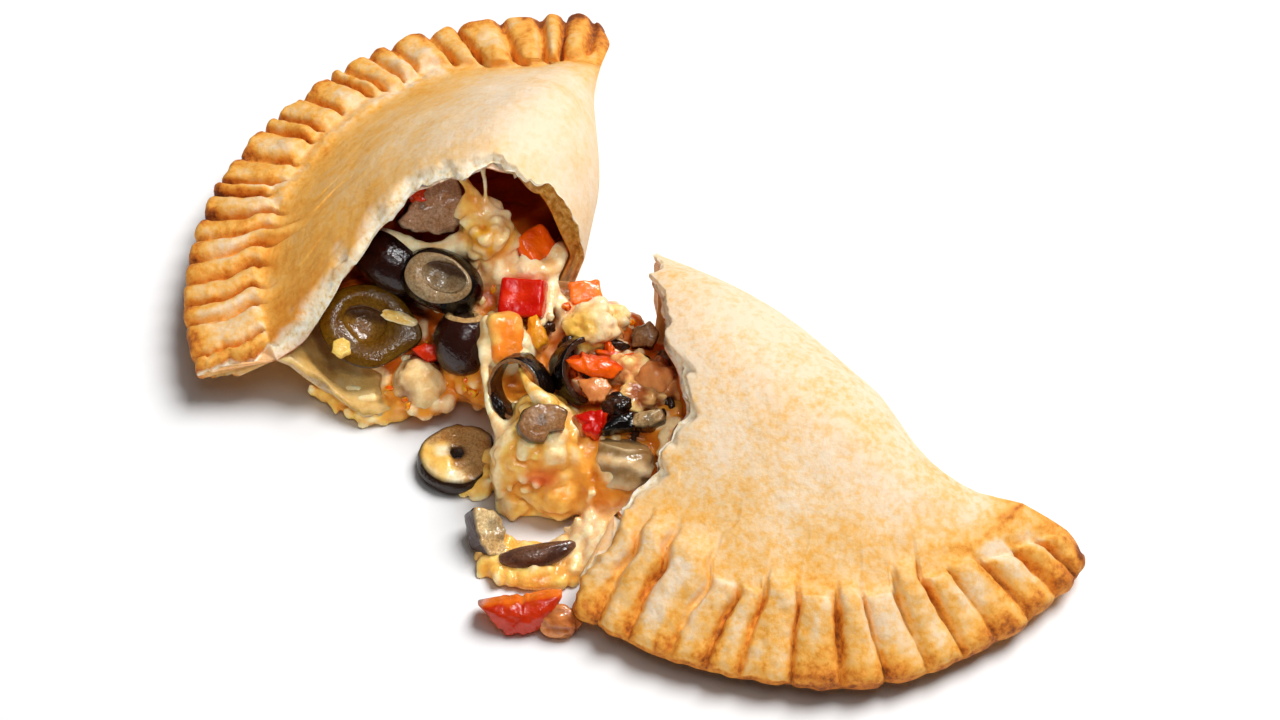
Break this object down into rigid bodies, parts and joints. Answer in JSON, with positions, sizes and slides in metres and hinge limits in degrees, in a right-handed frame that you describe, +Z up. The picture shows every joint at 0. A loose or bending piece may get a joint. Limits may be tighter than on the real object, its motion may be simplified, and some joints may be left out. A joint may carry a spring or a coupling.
{
  "type": "fatayer",
  "caption": "Half-moon baked hand pie with a fork-crimped rim, torn apart so that melted cheese, olives and peppers spill between its halves.",
  "frame": {"origin": "middle of the footprint of the torn pie, on the surface that it lies on", "axes": "+Z up, -Y towards the side that the open mouth of the taller half faces, +X towards the tip of the other half"},
  "size_m": [0.1688, 0.153, 0.041],
  "materials": {
    "crust": "baked dough, dry and matt, browner along the crimped rim",
    "filling": "melted cheese with olives, peppers and tomato, moist and glossy"
  },
  "bodies": {
    "root": {"crust_left": "crust", "crust_right": "crust", "filling": "filling"}
  },
  "joints": []
}
